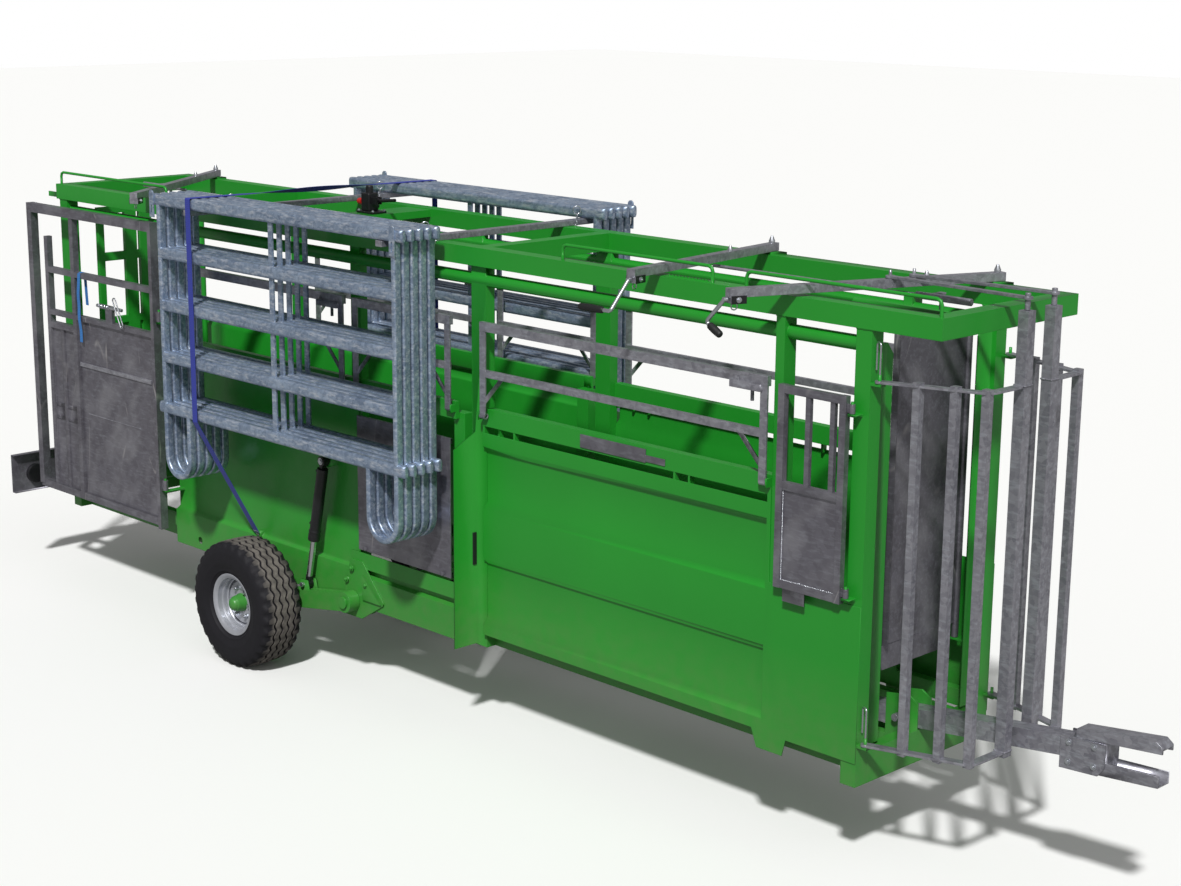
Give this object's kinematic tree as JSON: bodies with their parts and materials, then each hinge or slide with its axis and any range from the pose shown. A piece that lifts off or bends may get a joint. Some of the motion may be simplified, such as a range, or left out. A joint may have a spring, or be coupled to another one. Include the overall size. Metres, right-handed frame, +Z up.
{
  "type": "mobile cattle handling race",
  "caption": "Long sheeted steel race for cattle on a raised wheel axle, with a head yoke, doors moved by top levers, drop-down bars, stacked hurdles strapped to its sides and a drawbar.",
  "frame": {"origin": "centre of the bounding box's footprint, on the ground under the wheels", "axes": "+X towards the drawbar, +Y from the side with the doors to the closed side, +Z up"},
  "size_m": [7.8, 1.664, 2.6153],
  "materials": {
    "green_paint": "gloss",
    "galvanised_steel": "galvanised",
    "tyre_rubber": "matte",
    "wheel_paint": "satin",
    "black_paint": "satin",
    "chrome": "polished",
    "blue_webbing": "woven"
  },
  "bodies": {
    "race": {"top_frame": "green_paint", "base_frame": "green_paint", "front_carrier": "galvanised_steel", "rear_carrier": "galvanised_steel", "drawbar": "galvanised_steel", "light_board": "galvanised_steel", "pump_body": "black_paint", "strap": "blue_webbing", "near_side_frame": "green_paint", "near_front_panel": "green_paint", "near_rear_panel": "green_paint", "near_hurdle_1": "galvanised_steel", "near_hurdle_2": "galvanised_steel", "near_hurdle_3": "galvanised_steel", "near_hurdle_4": "galvanised_steel", "near_hurdle_5": "galvanised_steel", "near_strap_tail": "blue_webbing", "far_side_frame": "green_paint", "far_front_panel": "green_paint", "far_rear_panel": "green_paint", "far_hurdle_1": "galvanised_steel", "far_hurdle_2": "galvanised_steel", "far_hurdle_3": "galvanised_steel", "far_hurdle_4": "galvanised_steel", "far_hurdle_5": "galvanised_steel", "far_strap_tail": "blue_webbing"},
    "near_swing_arm": {"near_arm": "green_paint"},
    "near_wheel": {"near_tyre": "tyre_rubber", "near_wheel_rim": "wheel_paint"},
    "near_cylinder": {"near_cylinder_barrel": "black_paint"},
    "near_piston": {"near_cylinder_rod": "chrome"},
    "far_swing_arm": {"far_arm": "green_paint"},
    "far_wheel": {"far_tyre": "tyre_rubber", "far_wheel_rim": "wheel_paint"},
    "far_cylinder": {"far_cylinder_barrel": "black_paint"},
    "far_piston": {"far_cylinder_rod": "chrome"},
    "yoke_lever_arm": {"yoke_lever": "galvanised_steel"},
    "near_wing": {"near_yoke_wing": "galvanised_steel"},
    "far_wing": {"far_yoke_wing": "galvanised_steel"},
    "near_link": {"near_push_rod": "galvanised_steel"},
    "far_link": {"far_push_rod": "galvanised_steel"},
    "yoke_handle": {"yoke_lever_handle": "black_paint"},
    "door_lever_arm": {"door_lever": "galvanised_steel"},
    "front_rod": {"front_door_rod": "galvanised_steel"},
    "front_door_leaf": {"front_door": "galvanised_steel"},
    "door_handle": {"door_lever_handle": "black_paint"},
    "rear_lever_arm": {"rear_lever": "galvanised_steel"},
    "rear_rod": {"rear_door_rod": "galvanised_steel"},
    "rear_door_leaf": {"rear_door": "green_paint"},
    "vet_door_leaf": {"vet_door": "galvanised_steel"},
    "rear_gate_leaf": {"rear_gate": "galvanised_steel"},
    "side_door_leaf": {"side_door": "galvanised_steel"},
    "near_front_bars": {"near_front_bar_frame": "galvanised_steel"},
    "near_short_bars": {"near_short_bar_frame": "galvanised_steel"},
    "near_rear_bars": {"near_rear_bar_frame": "galvanised_steel"},
    "far_front_bars": {"far_front_bar_frame": "galvanised_steel"},
    "far_short_bars": {"far_short_bar_frame": "galvanised_steel"},
    "far_rear_bars": {"far_rear_bar_frame": "galvanised_steel"},
    "pin": {"drawbar_pin": "galvanised_steel"},
    "pump_socket": {"pump_lever": "black_paint"}
  },
  "joints": [
    {"name": "near_arm_swing", "type": "hinge", "parent": "race", "child": "near_swing_arm", "pos_m": [-0.68, -0.523, 0.47], "axis": [0, 1, 0], "range_deg": [0, 36], "deforming": ["near_strap_tail"]},
    {"name": "near_wheel_spin", "type": "hinge", "parent": "near_swing_arm", "child": "near_wheel", "pos_m": [-1.36, -0.7, 0.355], "axis": [0, 1, 0], "continuous": true},
    {"name": "near_cylinder_tilt", "type": "hinge", "parent": "race", "child": "near_cylinder", "pos_m": [-0.87, -0.523, 1.21], "axis": [0, 1, 0], "range_deg": [-3, 0]},
    {"name": "near_rod_slide", "type": "slide", "parent": "near_cylinder", "child": "near_piston", "axis": [0.2184, 0, 0.9759], "range_m": [0, 0.215]},
    {"name": "far_arm_swing", "type": "hinge", "parent": "race", "child": "far_swing_arm", "pos_m": [-0.68, 0.523, 0.47], "axis": [0, 1, 0], "range_deg": [0, 36], "deforming": ["far_strap_tail"]},
    {"name": "far_wheel_spin", "type": "hinge", "parent": "far_swing_arm", "child": "far_wheel", "pos_m": [-1.36, 0.7, 0.355], "axis": [0, 1, 0], "continuous": true},
    {"name": "far_cylinder_tilt", "type": "hinge", "parent": "race", "child": "far_cylinder", "pos_m": [-0.87, 0.523, 1.21], "axis": [0, 1, 0], "range_deg": [-3, 0]},
    {"name": "far_rod_slide", "type": "slide", "parent": "far_cylinder", "child": "far_piston", "axis": [0.2184, 0, 0.9759], "range_m": [0, 0.215]},
    {"name": "yoke_lever_swing", "type": "hinge", "parent": "race", "child": "yoke_lever_arm", "pos_m": [2.67, 0.455, 2.4825], "axis": [0, 0, 1], "range_deg": [0, 30]},
    {"name": "near_wing_swing", "type": "hinge", "parent": "race", "child": "near_wing", "pos_m": [2.755, -0.46, 0.59], "axis": [0, 0, 1], "range_deg": [-43, 0]},
    {"name": "far_wing_swing", "type": "hinge", "parent": "race", "child": "far_wing", "pos_m": [2.755, 0.46, 0.59], "axis": [0, 0, 1], "range_deg": [0, 34]},
    {"name": "near_push_rod_swing", "type": "hinge", "parent": "yoke_lever_arm", "child": "near_link", "pos_m": [2.4762, -0.05, 2.52], "axis": [0, 0, 1], "range_deg": [-63, 0]},
    {"name": "far_push_rod_swing", "type": "hinge", "parent": "yoke_lever_arm", "child": "far_link", "pos_m": [2.5184, 0.06, 2.52], "axis": [0, 0, 1], "range_deg": [-3, 0]},
    {"name": "yoke_handle_swing", "type": "hinge", "parent": "yoke_lever_arm", "child": "yoke_handle", "pos_m": [2.1995, -0.7714, 2.4745], "axis": [-0.3582, -0.9336, 0], "range_deg": [-60, 10]},
    {"name": "door_lever_swing", "type": "hinge", "parent": "race", "child": "door_lever_arm", "pos_m": [1.39, 0.45, 2.4825], "axis": [0, 0, 1], "range_deg": [-30, 13]},
    {"name": "front_door_rod_slide", "type": "slide", "parent": "race", "child": "front_rod", "axis": [1, 0, 0], "range_m": [-0.24, 0.105]},
    {"name": "front_door_swing", "type": "hinge", "parent": "race", "child": "front_door_leaf", "pos_m": [2.595, 0.378, 0.94], "axis": [0, 0, 1], "range_deg": [-62, 27]},
    {"name": "door_handle_swing", "type": "hinge", "parent": "door_lever_arm", "child": "door_handle", "pos_m": [1.5552, -0.6815, 2.4745], "axis": [0.1445, -0.9895, 0], "range_deg": [-60, 10]},
    {"name": "rear_lever_swing", "type": "hinge", "parent": "race", "child": "rear_lever_arm", "pos_m": [-3.21, 0.45, 2.4825], "axis": [0, 0, 1], "range_deg": [-14, 5]},
    {"name": "rear_door_rod_slide", "type": "slide", "parent": "race", "child": "rear_rod", "axis": [1, 0, 0], "range_m": [-0.12, 0.042]},
    {"name": "rear_door_swing", "type": "hinge", "parent": "race", "child": "rear_door_leaf", "pos_m": [-3.28, 0.378, 0.61], "axis": [0, 0, 1], "range_deg": [-30, 11]},
    {"name": "vet_door_swing", "type": "hinge", "parent": "race", "child": "vet_door_leaf", "pos_m": [2.658, -0.507, 1.214], "axis": [0, 0, 1], "range_deg": [0, 100]},
    {"name": "rear_gate_swing", "type": "hinge", "parent": "race", "child": "rear_gate_leaf", "pos_m": [-2.335, -0.57, 0.58], "axis": [0, 0, 1], "range_deg": [0, 100]},
    {"name": "side_door_drop", "type": "hinge", "parent": "race", "child": "side_door_leaf", "pos_m": [-0.64, -0.466, 0.776], "axis": [1, 0, 0], "range_deg": [0, 5]},
    {"name": "near_front_bar_drop", "type": "hinge", "parent": "race", "child": "near_front_bars", "pos_m": [0.3718, -0.499, 1.655], "axis": [1, 0, 0], "range_deg": [0, 160]},
    {"name": "near_short_bar_drop", "type": "hinge", "parent": "race", "child": "near_short_bars", "pos_m": [-0.6205, -0.499, 1.655], "axis": [1, 0, 0], "range_deg": [0, 3]},
    {"name": "near_rear_bar_drop", "type": "hinge", "parent": "race", "child": "near_rear_bars", "pos_m": [-2.2705, -0.499, 1.655], "axis": [1, 0, 0], "range_deg": [0, 2]},
    {"name": "far_front_bar_drop", "type": "hinge", "parent": "race", "child": "far_front_bars", "pos_m": [0.3718, 0.499, 1.655], "axis": [-1, 0, 0], "range_deg": [0, 160]},
    {"name": "far_short_bar_drop", "type": "hinge", "parent": "race", "child": "far_short_bars", "pos_m": [-0.6205, 0.499, 1.655], "axis": [-1, 0, 0], "range_deg": [0, 3]},
    {"name": "far_rear_bar_drop", "type": "hinge", "parent": "race", "child": "far_rear_bars", "pos_m": [-2.2705, 0.499, 1.655], "axis": [-1, 0, 0], "range_deg": [0, 2]},
    {"name": "drawbar_pin_pull", "type": "slide", "parent": "race", "child": "pin", "axis": [0, -1, 0], "range_m": [0, 0.15]},
    {"name": "pump_lever_swing", "type": "hinge", "parent": "race", "child": "pump_socket", "pos_m": [-1.105, 0.06, 2.5353], "axis": [0, 1, 0], "range_deg": [-50, 0]}
  ],
  "couplings": [
    {"joint": "near_cylinder_tilt", "follows": "near_arm_swing", "ratio": -0.07},
    {"joint": "near_rod_slide", "follows": "near_arm_swing", "m_per_rad": 0.3385},
    {"joint": "far_cylinder_tilt", "follows": "near_arm_swing", "ratio": -0.07},
    {"joint": "far_rod_slide", "follows": "near_arm_swing", "m_per_rad": 0.3385},
    {"joint": "far_arm_swing", "follows": "near_arm_swing", "ratio": 1},
    {"joint": "near_wing_swing", "follows": "yoke_lever_swing", "ratio": -1.38},
    {"joint": "far_wing_swing", "follows": "yoke_lever_swing", "ratio": 1.08},
    {"joint": "near_push_rod_swing", "follows": "yoke_lever_swing", "ratio": -2.04},
    {"joint": "far_push_rod_swing", "follows": "yoke_lever_swing", "ratio": -0.07},
    {"joint": "front_door_rod_slide", "follows": "door_lever_swing", "m_per_rad": 0.45},
    {"joint": "front_door_swing", "follows": "door_lever_swing", "ratio": 2.045},
    {"joint": "rear_door_rod_slide", "follows": "rear_lever_swing", "m_per_rad": 0.47},
    {"joint": "rear_door_swing", "follows": "rear_lever_swing", "ratio": 2.136}
  ]
}
